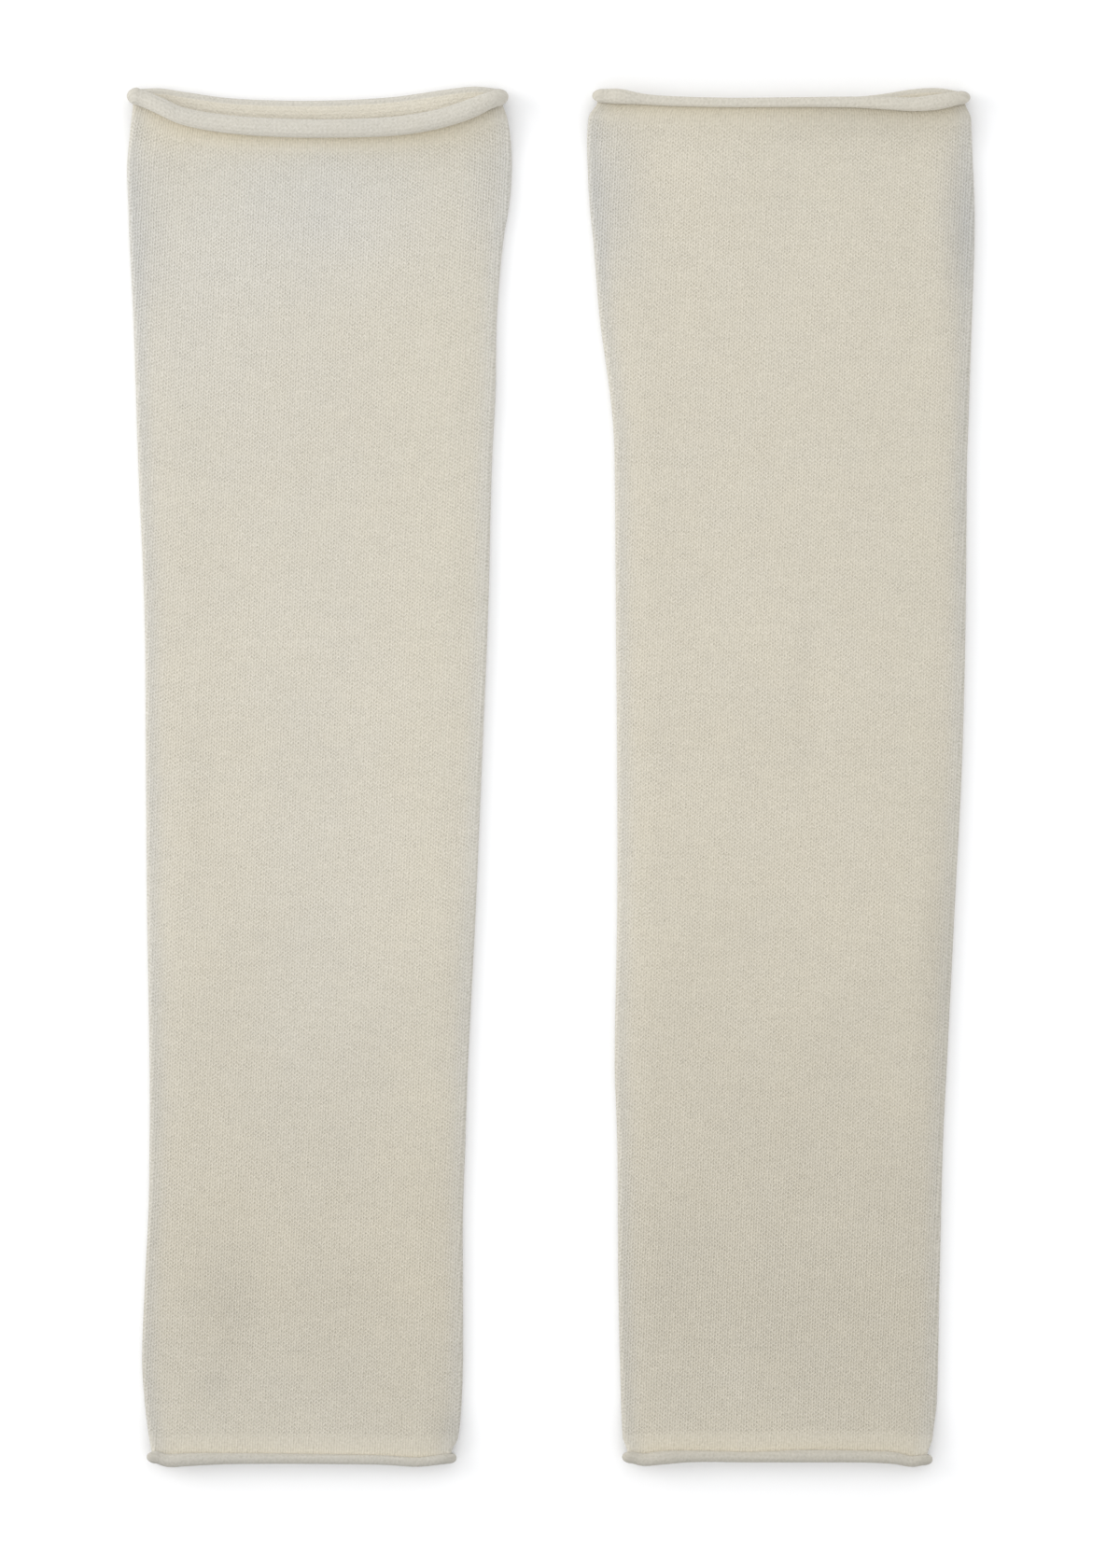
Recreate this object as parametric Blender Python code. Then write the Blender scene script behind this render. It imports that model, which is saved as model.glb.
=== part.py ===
"""A pair of fine knitted leg warmers with rolled hems, laid flat side by side.

Metres, with +Z up. +Y runs towards the wide ends, +X towards the right warmer, and the pair lies
on z = 0 with its middle over the origin. Each warmer is one knitted tube, pressed flat: a back
layer on the ground, a front layer on that, and a fold down each side. At both ends the cloth curls
outwards into a roll, which lies on the front layer and under the back one.
"""

import math
from collections import namedtuple

import bmesh
import bpy
from mathutils import Vector

MM = 0.001

# Cloth, in millimetres as the tables below are
WALL = 1.5
LAYER_GAP = 1.4
FOLD_GAP = 0.6
FOLD_REACH = 14.0

# Rolled hems, in millimetres
SIDE_ROLL = 3.6
ROLL_CLEARANCE = 0.35
LIFT_REACH = 24.0
PINCH_REACH = 6.0
ROLL_MARGIN = 0.5

# Fineness of the mesh
FLAT_STEPS = 13
FOLD_STEPS = 6
NEAR_HEM = (0.0, 3.0, 6.0, 10.0, 15.0, 21.0, 28.0)
LENGTH_STEPS = 11
HALF_ROLL_STEPS = 5
TUCKED_ROLL_STEPS = 3

CREAM = (0.63, 0.60, 0.51, 1.0)
CLOTH_ROUGHNESS = 0.95

# A tube's two edges from its own centre line, at a place along the pair's length
TubeRow = namedtuple("TubeRow", "along left right")

# A hem's outermost line on the front and the back layer, and the thickness of its front roll,
# at a share of the way across from the left fold to the right one
HemRow = namedtuple("HemRow", "across front back roll")

# A hem with the reach of its roll at the two folds, the thickness of its back roll, how far the
# mouth gapes, and the way out of the tube along Y
Hem = namedtuple("Hem", "rows left right back_roll gape way_out")

Warmer = namedtuple("Warmer", "name centre tube top bottom")

LEFT_TUBE = [
    TubeRow(*row)
    for row in (
        (-270.0, -67.0, 54.0),
        (-261.0, -68.5, 55.5),
        (-249.0, -70.0, 56.5),
        (-234.0, -71.0, 57.0),
        (-204.0, -70.0, 57.0),
        (-174.5, -68.5, 57.0),
        (-144.5, -68.0, 58.0),
        (-115.0, -68.0, 59.0),
        (-55.0, -69.0, 62.0),
        (4.5, -69.5, 64.5),
        (64.0, -70.0, 67.0),
        (123.5, -72.5, 68.5),
        (153.5, -73.5, 70.0),
        (183.0, -74.5, 70.5),
        (213.0, -76.0, 73.0),
        (228.0, -76.5, 75.5),
        (243.0, -77.0, 76.5),
        (254.0, -76.0, 76.0),
        (266.5, -74.5, 74.0),
    )
]

RIGHT_TUBE = [
    TubeRow(*row)
    for row in (
        (-270.0, -63.0, 59.5),
        (-261.0, -63.5, 60.5),
        (-249.0, -64.0, 62.0),
        (-204.0, -65.0, 63.0),
        (-144.5, -65.5, 64.5),
        (-115.0, -66.5, 66.0),
        (-55.0, -65.5, 69.0),
        (4.5, -65.5, 72.0),
        (64.0, -66.0, 73.5),
        (123.5, -66.5, 74.0),
        (138.5, -67.0, 74.5),
        (153.5, -68.5, 75.0),
        (183.0, -72.5, 76.0),
        (213.0, -75.0, 77.0),
        (228.0, -76.5, 77.0),
        (251.5, -77.5, 76.0),
        (262.0, -77.0, 75.5),
        (268.0, -75.5, 74.5),
    )
]

LEFT_TOP = Hem(
    rows=[
        HemRow(*row)
        for row in (
            (0.00, 274.0, 274.0, 7.0),
            (0.06, 270.6, 274.3, 7.2),
            (0.13, 266.4, 272.8, 7.0),
            (0.25, 263.4, 270.4, 7.2),
            (0.40, 262.0, 269.4, 7.4),
            (0.55, 261.8, 269.5, 7.4),
            (0.70, 262.8, 270.7, 7.6),
            (0.80, 265.0, 272.6, 7.7),
            (0.88, 267.9, 274.3, 7.7),
            (0.94, 270.6, 275.0, 7.6),
            (1.00, 273.5, 274.0, 7.0),
        )
    ],
    left=-76.5,
    right=75.0,
    back_roll=5.4,
    gape=1.2,
    way_out=1.0,
)

LEFT_BOTTOM = Hem(
    rows=[
        HemRow(*row)
        for row in (
            (0.00, -273.6, -273.6, 5.0),
            (0.04, -275.0, -275.0, 5.2),
            (0.11, -274.6, -274.6, 5.2),
            (0.23, -273.9, -273.9, 4.5),
            (0.40, -273.7, -273.7, 4.1),
            (0.60, -273.8, -273.8, 3.9),
            (0.78, -274.1, -274.1, 3.8),
            (0.90, -274.9, -274.9, 3.8),
            (1.00, -273.8, -273.8, 4.0),
        )
    ],
    left=-69.0,
    right=54.5,
    back_roll=4.4,
    gape=0.2,
    way_out=-1.0,
)

RIGHT_TOP = Hem(
    rows=[
        HemRow(*row)
        for row in (
            (0.00, 273.6, 273.6, 5.4),
            (0.05, 273.6, 273.6, 6.0),
            (0.11, 271.8, 271.8, 4.4),
            (0.18, 270.8, 270.8, 4.0),
            (0.35, 270.1, 270.1, 3.9),
            (0.55, 270.3, 270.3, 4.0),
            (0.70, 270.5, 270.9, 4.4),
            (0.78, 270.4, 272.0, 5.0),
            (0.87, 270.3, 274.0, 5.6),
            (0.94, 271.6, 274.4, 6.2),
            (1.00, 272.8, 273.0, 5.4),
        )
    ],
    left=-75.5,
    right=75.2,
    back_roll=4.4,
    gape=0.4,
    way_out=1.0,
)

RIGHT_BOTTOM = Hem(
    rows=[
        HemRow(*row)
        for row in (
            (0.00, -273.6, -273.6, 4.8),
            (0.04, -274.6, -274.6, 5.0),
            (0.10, -274.0, -274.0, 5.4),
            (0.21, -273.0, -273.0, 4.6),
            (0.40, -273.1, -273.1, 4.2),
            (0.61, -273.1, -273.1, 5.0),
            (0.80, -273.2, -273.2, 4.7),
            (0.90, -273.8, -273.8, 4.8),
            (0.96, -275.0, -275.0, 4.4),
            (1.00, -274.4, -274.4, 4.2),
        )
    ],
    left=-63.6,
    right=60.2,
    back_roll=4.4,
    gape=0.2,
    way_out=-1.0,
)

WARMERS = (
    Warmer("left_leg_warmer", -92.0, LEFT_TUBE, LEFT_TOP, LEFT_BOTTOM),
    Warmer("right_leg_warmer", 92.0, RIGHT_TUBE, RIGHT_TOP, RIGHT_BOTTOM),
)

# A place round the tube: a share of the way across, and the way its wall faces, from -90 degrees
# on the back layer, through 0 or 180 on a fold's outermost line, to 90 on the front layer
Place = namedtuple("Place", "across facing")


def eased(share):
    """A smooth step from 0 to 1 with level ends."""
    share = min(max(share, 0.0), 1.0)
    return share * share * (3.0 - 2.0 * share)


def read_table(rows, column, at):
    """A column's value at a place between a table's rows, on a smooth curve through them."""
    places = [row[0] for row in rows]
    values = [getattr(row, column) for row in rows]
    if at <= places[0]:
        return values[0]
    if at >= places[-1]:
        return values[-1]
    upper = next(i for i, place in enumerate(places) if place > at)
    lower = upper - 1
    width = places[upper] - places[lower]

    def slope(i):
        before, after = max(i - 1, 0), min(i + 1, len(rows) - 1)
        return (values[after] - values[before]) / (places[after] - places[before])

    share = (at - places[lower]) / width
    rise = eased(share)
    bend_in = share * (1.0 - share) ** 2
    bend_out = share * share * (share - 1.0)
    level = values[lower] + rise * (values[upper] - values[lower])
    return level + width * (bend_in * slope(lower) + bend_out * slope(upper))


def places_round():
    """The places of one ring, from the back layer's left end round by the right fold."""
    shares = [0.5 - 0.5 * math.cos(math.pi * k / FLAT_STEPS) for k in range(FLAT_STEPS + 1)]
    even = [k / FLAT_STEPS for k in range(FLAT_STEPS + 1)]
    shares = [0.5 * (a + b) for a, b in zip(shares, even)]
    turn = [-90.0 + 180.0 * k / FOLD_STEPS for k in range(1, FOLD_STEPS)]
    ring = [Place(share, -90.0) for share in shares]
    ring += [Place(1.0, angle) for angle in turn]
    ring += [Place(share, 90.0) for share in reversed(shares)]
    ring += [Place(0.0, 180.0 - angle) for angle in reversed(turn)]
    return ring


def faces_front(place):
    """From 0 on the back layer to 1 on the front one."""
    return 0.5 + 0.5 * math.sin(math.radians(place.facing))


def roll_thickness(hem, place):
    """The roll is thick on the layers, and thins where it bends round a fold."""
    upward = math.sin(math.radians(place.facing))
    flat_roll = read_table(hem.rows, "roll", place.across) if upward > 0 else hem.back_roll
    return SIDE_ROLL + (flat_roll - SIDE_ROLL) * upward * upward


def roll_start(hem, place):
    """The Y at which the tube ends and its roll begins, half a roll inside the hem's outermost line."""
    front_half = 0.5 * read_table(hem.rows, "roll", place.across)
    front = read_table(hem.rows, "front", place.across) - hem.way_out * front_half
    back = read_table(hem.rows, "back", place.across) - hem.way_out * 0.5 * hem.back_roll
    return back + (front - back) * faces_front(place)


def inside_hem(hem, along, place):
    """How far a Y lies inside the line where the roll begins."""
    return hem.way_out * (roll_start(hem, place) - along)


def back_height(warmer, across, along):
    """The middle of the back layer's wall, which climbs onto its own roll at each end."""
    height = 0.5 * WALL
    for hem in (warmer.top, warmer.bottom):
        inside = inside_hem(hem, along, Place(across, -90.0))
        level_part = 0.5 * hem.back_roll + ROLL_MARGIN
        height += (hem.back_roll - WALL) * (1.0 - eased((inside - level_part) / LIFT_REACH))
    return height


def layer_gap(warmer, across, along, from_fold):
    """The space between the two layers: less beside the folds, and more in a mouth that gapes."""
    gap = FOLD_GAP + (LAYER_GAP - FOLD_GAP) * eased(from_fold / FOLD_REACH)
    for hem in (warmer.top, warmer.bottom):
        inside = inside_hem(hem, along, Place(across, 90.0))
        gap += hem.gape * math.sin(math.pi * across) ** 2 * (1.0 - eased(inside / LIFT_REACH))
    return gap


def tube_edge(warmer, side, along):
    """The X of the wall's middle at a fold, drawn in at each end so that the roll has its reach."""
    outward = 1.0 if side == "right" else -1.0
    across = 1.0 if side == "right" else 0.0
    edge = read_table(warmer.tube, side, along) - outward * 0.5 * WALL
    for hem in (warmer.top, warmer.bottom):
        fold = Place(across, 0.0)
        start = roll_start(hem, fold)
        at_start = read_table(warmer.tube, side, start) - outward * 0.5 * WALL
        wanted = getattr(hem, side) - outward * (SIDE_ROLL - 0.5 * WALL)
        inside = inside_hem(hem, along, fold) - 0.5 * SIDE_ROLL - ROLL_MARGIN
        edge += (wanted - at_start) * (1.0 - eased(inside / PINCH_REACH))
    return edge


def wall_middle(warmer, place, along):
    """The point in the middle of the wall's thickness, and the way out of the tube there."""
    fold_radius = 0.5 * (WALL + FOLD_GAP)
    left = tube_edge(warmer, "left", along) + fold_radius
    right = tube_edge(warmer, "right", along) - fold_radius
    x = left + (right - left) * place.across
    height = back_height(warmer, place.across, along)
    outward = Vector((math.cos(math.radians(place.facing)), 0.0, math.sin(math.radians(place.facing))))
    if place.facing == -90.0:
        return Vector((x, along, height)), Vector((0.0, 0.0, -1.0))
    if place.facing == 90.0:
        gap = layer_gap(warmer, place.across, along, min(x - left, right - x))
        return Vector((x, along, height + WALL + gap)), Vector((0.0, 0.0, 1.0))
    centre = Vector((x, along, height + fold_radius))
    return centre + fold_radius * outward, outward


def lengthwise(warmer, place):
    """The Y of each ring at this place, from the bottom roll's start to the top one's."""
    low, high = roll_start(warmer.bottom, place), roll_start(warmer.top, place)
    first, last = low + NEAR_HEM[-1], high - NEAR_HEM[-1]
    middle = [first + (last - first) * k / LENGTH_STEPS for k in range(1, LENGTH_STEPS)]
    return [low + step for step in NEAR_HEM] + middle + [high - step for step in reversed(NEAR_HEM)]


def rolled_points(start, outward, way_out, thickness):
    """The wall's outer and inner points round one roll, from its first turn to its tucked edge."""
    turn_radius = 0.5 * (thickness - WALL)
    outside = turn_radius + 0.5 * WALL
    tuck = (turn_radius - 0.5 * WALL - ROLL_CLEARANCE) / outside
    last_angle = 2.0 * math.pi - math.acos(tuck)
    angles = [math.pi * k / HALF_ROLL_STEPS for k in range(1, HALF_ROLL_STEPS + 1)]
    tucked = last_angle - math.pi
    angles += [math.pi + tucked * k / TUCKED_ROLL_STEPS for k in range(1, TUCKED_ROLL_STEPS + 1)]
    centre = start + turn_radius * outward
    turned = [math.sin(angle) * way_out - math.cos(angle) * outward for angle in angles]
    outer = [centre + (turn_radius - 0.5 * WALL) * way for way in turned]
    inner = [centre + outside * way for way in turned]
    return outer, inner


def rolled_end(warmer, hem, place, along, next_along):
    """The roll that carries on from the tube at one place, in the way that the tube's wall points."""
    start, outward = wall_middle(warmer, place, along)
    before, _ = wall_middle(warmer, place, next_along)
    way_out = (start - before).normalized()
    outward = (outward - outward.dot(way_out) * way_out).normalized()
    return rolled_points(start, outward, way_out, roll_thickness(hem, place))


def cloth_strip(warmer, place):
    """The wall's outer and inner points at one place round the tube, from end to end."""
    alongs = lengthwise(warmer, place)
    middles = [wall_middle(warmer, place, along) for along in alongs]
    outer = [middle + 0.5 * WALL * outward for middle, outward in middles]
    inner = [middle - 0.5 * WALL * outward for middle, outward in middles]
    low_outer, low_inner = rolled_end(warmer, warmer.bottom, place, alongs[0], alongs[1])
    high_outer, high_inner = rolled_end(warmer, warmer.top, place, alongs[-1], alongs[-2])
    outer = low_outer[::-1] + outer + high_outer
    inner = low_inner[::-1] + inner + high_inner
    return outer, inner


def add_skin(mesh, strips):
    """One skin of the tube, from a list of points for each place round it."""
    grid = [[mesh.verts.new(point * MM) for point in strip] for strip in strips]
    for here, following in zip(grid, grid[1:] + grid[:1]):
        for k in range(len(here) - 1):
            mesh.faces.new((here[k], following[k], following[k + 1], here[k + 1]))
    return grid


def close_edge(mesh, outer, inner, end):
    """The cut edge of the cloth inside a roll, between the two skins."""
    for k in range(len(outer)):
        following = (k + 1) % len(outer)
        mesh.faces.new((outer[k][end], outer[following][end], inner[following][end], inner[k][end]))


def knitted_cloth():
    material = bpy.data.materials.new("cream_knit")
    material.use_nodes = True
    surface = material.node_tree.nodes["Principled BSDF"]
    surface.inputs["Base Color"].default_value = CREAM
    surface.inputs["Roughness"].default_value = CLOTH_ROUGHNESS
    return material


def add_warmer(warmer, material):
    strips = [cloth_strip(warmer, place) for place in places_round()]
    mesh = bmesh.new()
    outer = add_skin(mesh, [strip[0] for strip in strips])
    inner = add_skin(mesh, [strip[1] for strip in strips])
    close_edge(mesh, outer, inner, 0)
    close_edge(mesh, outer, inner, -1)
    bmesh.ops.recalc_face_normals(mesh, faces=mesh.faces[:])
    data = bpy.data.meshes.new(warmer.name)
    mesh.to_mesh(data)
    mesh.free()
    data.shade_smooth()
    data.materials.append(material)
    piece = bpy.data.objects.new(warmer.name, data)
    piece.location.x = warmer.centre * MM
    bpy.context.scene.collection.objects.link(piece)


def main():
    for item in list(bpy.data.objects):
        bpy.data.objects.remove(item)
    material = knitted_cloth()
    for warmer in WARMERS:
        add_warmer(warmer, material)


main()
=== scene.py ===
"""The pair of leg warmers as it looks: fine cream plain knit, laid flat and seen from straight above.

Each warmer is one fine closed shell on its solid's form, made from the same tables and rules as
the solid. The shell's pattern coordinates count the knit's wales and courses, and the materials
draw each stitch from them.
"""

import math
from collections import namedtuple

import bpy
import numpy as np
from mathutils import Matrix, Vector

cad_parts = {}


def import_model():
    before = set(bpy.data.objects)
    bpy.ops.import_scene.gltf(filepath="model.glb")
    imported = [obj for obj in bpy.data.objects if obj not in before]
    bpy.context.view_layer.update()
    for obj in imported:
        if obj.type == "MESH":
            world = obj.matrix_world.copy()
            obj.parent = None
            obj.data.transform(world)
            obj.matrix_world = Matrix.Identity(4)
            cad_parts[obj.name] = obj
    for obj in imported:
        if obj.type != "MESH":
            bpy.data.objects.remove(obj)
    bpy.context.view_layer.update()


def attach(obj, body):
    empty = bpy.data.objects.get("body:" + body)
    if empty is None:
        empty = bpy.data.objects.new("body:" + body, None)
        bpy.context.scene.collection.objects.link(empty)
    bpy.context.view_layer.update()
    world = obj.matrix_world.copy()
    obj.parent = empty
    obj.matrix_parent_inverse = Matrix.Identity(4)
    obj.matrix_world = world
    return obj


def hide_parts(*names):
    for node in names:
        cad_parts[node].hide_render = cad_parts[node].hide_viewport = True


MM = 0.001

# Cloth, in millimetres as the tables below are
WALL = 1.5
LAYER_GAP = 1.4
FOLD_GAP = 0.6
FOLD_REACH = 14.0
FOLD_RADIUS = 0.5 * (WALL + FOLD_GAP)

# Rolled hems, in millimetres
SIDE_ROLL = 3.6
ROLL_CLEARANCE = 0.35
LIFT_REACH = 24.0
PINCH_REACH = 6.0
ROLL_MARGIN = 0.5

# Fineness of the shells: the steps across a layer, round a fold, along the tube beside a hem and
# between the hems, and round a roll; the steps beside a hem bunch towards it
FLAT_STEPS = 62
FOLD_STEPS = 14
HEM_STEPS = 24
HEM_REACH = 28.0
HEM_BUNCHING = 1.6
LENGTH_STEPS = 132
HALF_ROLL_STEPS = 15
TUCKED_ROLL_STEPS = 7
ROLL_STEPS = HALF_ROLL_STEPS + TUCKED_ROLL_STEPS

# The knit in millimetres, the lean of its wales as X over Y, and how far from the top roll the
# wales begin to draw together
WALE = 2.03
COURSE = 1.5
WALE_LEAN = 0.05
FAN_REACH = 22.0

# What the mesh carries for its materials: the wales and courses counted, and the cloth's state,
# which is how deep and how cool its colour is, with painted light and shade among its own tones, and
# how clearly its stitches show
PATTERN = "wales_and_courses"
STATE = "deep_cool_open"

# Painted shade: how much darker the cloth's colour is painted towards the ankle, where the light falls
# off, the Y where that begins, and over what run
ANKLE_PAINTED_SHADE = 0.13
ANKLE_FROM = 0.0
ANKLE_RUN = 250.0

# How much deeper it is beside a fold, as painted shade where the cloth turns from the light, on the
# knob where a roll bends round a fold, as painted shade too, all over a roll, and inside the tube,
# where it is paler, as painted light bounced into the mouth
FOLD_PAINTED_SHADE = 0.02
FOLD_BAND = 4.0
KNOB_PAINTED_SHADE = 0.07
KNOB_BAND = 2.5
ROLL_DEEP = 0.05
INSIDE_PAINTED_BOUNCE_DEEP = -0.12

# Where a roll's outermost side is and how far the painted shade on it reaches, in half turns of the
# roll, and the share of the crease's painted light that the roll's tucked end has
OUTERMOST_TURN = 0.5
OUTERMOST_REACH = 0.36
TUCKED_SHARE = 0.4

# The smooth band inside each hem where no stitches show, the length over which they come back, and
# how far the painted light and shade beside a roll, in its crease and its painted warm light reach
# along the tube
HEM_BAND = 7.0
HEM_FADE = 4.0
BESIDE_ROLL_REACH = 5.0
CREASE_REACH = 1.2
WARM_REACH = 4.0

# How cool the colour is, as shares of the cool tint: all over, in slow drifts, beside a fold as
# painted cool shade, on a roll, and inside the tube, where below zero it is warmer as painted bounce
# light
BASE_COOL = 0.3
DRIFT_COOL = 0.45
FOLD_PAINTED_COOL_SHADE = 0.7
FOLD_COOL_BAND = 4.0
ROLL_COOL = 0.45
INSIDE_PAINTED_BOUNCE_COOL = -0.05

# How clearly the purl side's rows show on the rolls and inside the tube
ROLL_OPEN = 0.6
INSIDE_OPEN = 0.3

# A face stitch: the courses that its legs climb from the wale's middle to its sides, how much
# deeper the furrow between two wales is than the one in a wale's middle, and the least share of
# the legs that shows anywhere
LEG_CLIMB = 0.62
FURROW_SHARE = 0.1
LEAST_LEGS = 0.9

# The face side's depth in millimetres, its relief as shares of that depth, what each part of it
# adds to the share of light yarn that shows against the painted shade between the yarns, and that
# share's mean
FACE_DEPTH = 0.30
LEG_RELIEF = 0.46
STITCH_RELIEF = 0.48
FIBRE_RELIEF = 1.00
LEG_SHADE = 0.13
STITCH_SHADE = 0.21
FIBRE_SHADE = 1.6
FACE_LIGHT = 0.5

# The same for the purl side
PURL_DEPTH = 0.36
ROW_RELIEF = 0.60
COLUMN_RELIEF = 0.15
FUZZ_RELIEF = 0.90
LUMP_RELIEF = 0.9
ROW_SHADE = 0.12
COLUMN_SHADE = 0.03
FUZZ_SHADE = 1.3
PURL_LIGHT = 0.55

# Noise over the cloth: its grains to a wale and to a course, its finer layers, and its seed
Grain = namedtuple("Grain", "per_wale per_course layers seed")
NOISE_ROUGHNESS = 0.6

# What moves the face's stitches from their places, in wales and in courses, and how much more and
# less clearly they show from place to place
WANDER = Grain(0.5, 0.35, 2.0, 1.3)
WANDER_WALES = 0.35
JITTER = Grain(1.6, 1.1, 1.0, 4.1)
JITTER_WALES = 0.10
SLIP = Grain(0.8, 0.5, 2.0, 7.7)
SLIP_COURSES = 0.7
UNEVEN = Grain(0.22, 0.22, 2.0, 31.0)
UNEVEN_SHARE = 1.8

# What moves the purl side's rows, which also arch over each wale
PURL_SLIP = Grain(0.7, 0.5, 2.0, 3.1)
PURL_SLIP_COURSES = 0.8
ARCH_COURSES = 0.16

# The fibres and lumps of the two sides
FIBRES = Grain(2.3, 1.5, 2.0, 11.0)
FUZZ = Grain(2.2, 1.9, 2.0, 5.9)
LUMPS = Grain(0.5, 0.55, 1.0, 43.0)

# The colour's drift between warmer and cooler, and the two sides' paler and deeper places
COOL_DRIFT = Grain(0.11, 0.08, 2.0, 41.0)
STREAKS = Grain(0.14, 0.5, 2.0, 17.0)
STREAK_TONE = 0.08
MOTTLES = Grain(0.6, 0.4, 1.0, 37.0)
MOTTLE_TONE = 0.08
CLOUDS = Grain(0.05, 0.03, 2.0, 23.0)
PURL_CLOUDS = Grain(0.12, 0.25, 2.0, 29.0)
CLOUD_TONE = 0.09

# Colours and finish
YARN = (0.741, 0.689, 0.577, 1.0)
# The colour between the yarns is painted shade, deeper where the stitches' gaps lie in shadow
PAINTED_SHADE_BETWEEN_YARNS = (0.517, 0.477, 0.381, 1.0)
COOL_TINT = (0.955, 0.985, 1.06, 1.0)
CLOTH_ROUGHNESS = 0.95
CLOTH_SPECULAR = 0.2
NAP_SHEEN = 0.08
NAP_ROUGHNESS = 0.5
NAP_TINT = (0.95, 0.97, 1.0, 1.0)

# Floor, light and camera, in metres and watts
FLOOR_WHITE = (0.955, 0.955, 0.955, 1.0)
FLOOR_SIZE = 8.0
FLOOR_CLEARANCE = 0.0002
FILL_COLOUR = (0.985, 0.99, 1.0, 1.0)
FILL_STRENGTH = 1.03
KEY_PLACE = (-1.7, 0.45, 0.9)
KEY_SIZE = 1.2
KEY_POWER = 12.5
KEY_COLOUR = (1.0, 0.99, 0.97)
SENSOR = 36.0
CAMERA_HEIGHT = 3.0
VIEW_LENGTH = 0.6258
VIEW_CENTRE = (0.0037, -0.0031)

# A tube's two edges from its own centre line, at a place along the pair's length
TubeRow = namedtuple("TubeRow", "along left right")

# A hem's outermost line on the front and the back layer, and the thickness of its front roll,
# at a share of the way across from the left fold to the right one
HemRow = namedtuple("HemRow", "across front back roll")

# A hem with the reach of its roll at the two folds, the thickness of its back roll, how far the
# mouth gapes, the way out of the tube along Y, how much deeper the colour gets in the smooth band
# inside the hem, beside the roll, right in the crease and on the roll's outermost side, as painted
# shade above zero and painted light below it, and how much warmer it gets beside the roll, as
# painted warm light bounced in the crease
Hem = namedtuple(
    "Hem", "rows left right back_roll gape way_out band beside_roll crease outermost warm"
)

# A soft crease between two points, with its half width and its height, below zero for a trough
Crease = namedtuple("Crease", "x_from y_from x_to y_to reach height")

# A soft patch where the colour is deeper or cooler, partly the cloth's own uneven tone and partly
# painted light and shade, or the stitches show more clearly
Patch = namedtuple("Patch", "x y reach_x reach_y deep cool open")

# A leg warmer with the X of its centre line, its tables, and how much cooler than BASE_COOL it is
Warmer = namedtuple(
    "Warmer", "name centre tube top bottom front_creases back_creases patches cool"
)

# Places round a tube: shares of the way across, and the angles that the wall faces, from a
# quarter turn down on the back layer, through level on a fold, to a quarter turn up on the front
Ring = namedtuple("Ring", "across facing")


def table(row_kind, *rows):
    return [row_kind(*row) for row in rows]


LEFT_TUBE = table(
    TubeRow,
    (-270.0, -67.0, 54.0),
    (-261.0, -68.5, 55.5),
    (-249.0, -70.0, 56.5),
    (-234.0, -71.0, 57.0),
    (-204.0, -70.0, 57.0),
    (-174.5, -68.5, 57.0),
    (-144.5, -68.0, 58.0),
    (-115.0, -68.0, 59.0),
    (-55.0, -69.0, 62.0),
    (4.5, -69.5, 64.5),
    (64.0, -70.0, 67.0),
    (123.5, -72.5, 68.5),
    (153.5, -73.5, 70.0),
    (183.0, -74.5, 70.5),
    (213.0, -76.0, 73.0),
    (228.0, -76.5, 75.5),
    (243.0, -77.0, 76.5),
    (254.0, -76.0, 76.0),
    (266.5, -74.5, 74.0),
)

RIGHT_TUBE = table(
    TubeRow,
    (-270.0, -63.0, 59.5),
    (-261.0, -63.5, 60.5),
    (-249.0, -64.0, 62.0),
    (-204.0, -65.0, 63.0),
    (-144.5, -65.5, 64.5),
    (-115.0, -66.5, 66.0),
    (-55.0, -65.5, 69.0),
    (4.5, -65.5, 72.0),
    (64.0, -66.0, 73.5),
    (123.5, -66.5, 74.0),
    (138.5, -67.0, 74.5),
    (153.5, -68.5, 75.0),
    (183.0, -72.5, 76.0),
    (213.0, -75.0, 77.0),
    (228.0, -76.5, 77.0),
    (251.5, -77.5, 76.0),
    (262.0, -77.0, 75.5),
    (268.0, -75.5, 74.5),
)

LEFT_TOP = Hem(
    rows=table(
        HemRow,
        (0.00, 274.0, 274.0, 7.0),
        (0.06, 270.6, 274.3, 7.2),
        (0.13, 266.4, 272.8, 7.0),
        (0.25, 263.4, 270.4, 7.2),
        (0.40, 262.0, 269.4, 7.4),
        (0.55, 261.8, 269.5, 7.4),
        (0.70, 262.8, 270.7, 7.6),
        (0.80, 265.0, 272.6, 7.7),
        (0.88, 267.9, 274.3, 7.7),
        (0.94, 270.6, 275.0, 7.6),
        (1.00, 273.5, 274.0, 7.0),
    ),
    left=-76.5,
    right=75.0,
    back_roll=5.4,
    gape=1.2,
    way_out=1.0,
    band=0.0,
    beside_roll=0.10,
    crease=0.0,
    outermost=0.0,
    warm=1.2,
)

LEFT_BOTTOM = Hem(
    rows=table(
        HemRow,
        (0.00, -273.6, -273.6, 5.0),
        (0.04, -275.0, -275.0, 5.2),
        (0.11, -274.6, -274.6, 5.2),
        (0.23, -273.9, -273.9, 4.5),
        (0.40, -273.7, -273.7, 4.1),
        (0.60, -273.8, -273.8, 3.9),
        (0.78, -274.1, -274.1, 3.8),
        (0.90, -274.9, -274.9, 3.8),
        (1.00, -273.8, -273.8, 4.0),
    ),
    left=-69.0,
    right=54.5,
    back_roll=4.4,
    gape=0.2,
    way_out=-1.0,
    band=-0.02,
    beside_roll=-0.04,
    crease=-0.22,
    outermost=0.24,
    warm=0.4,
)

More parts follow.
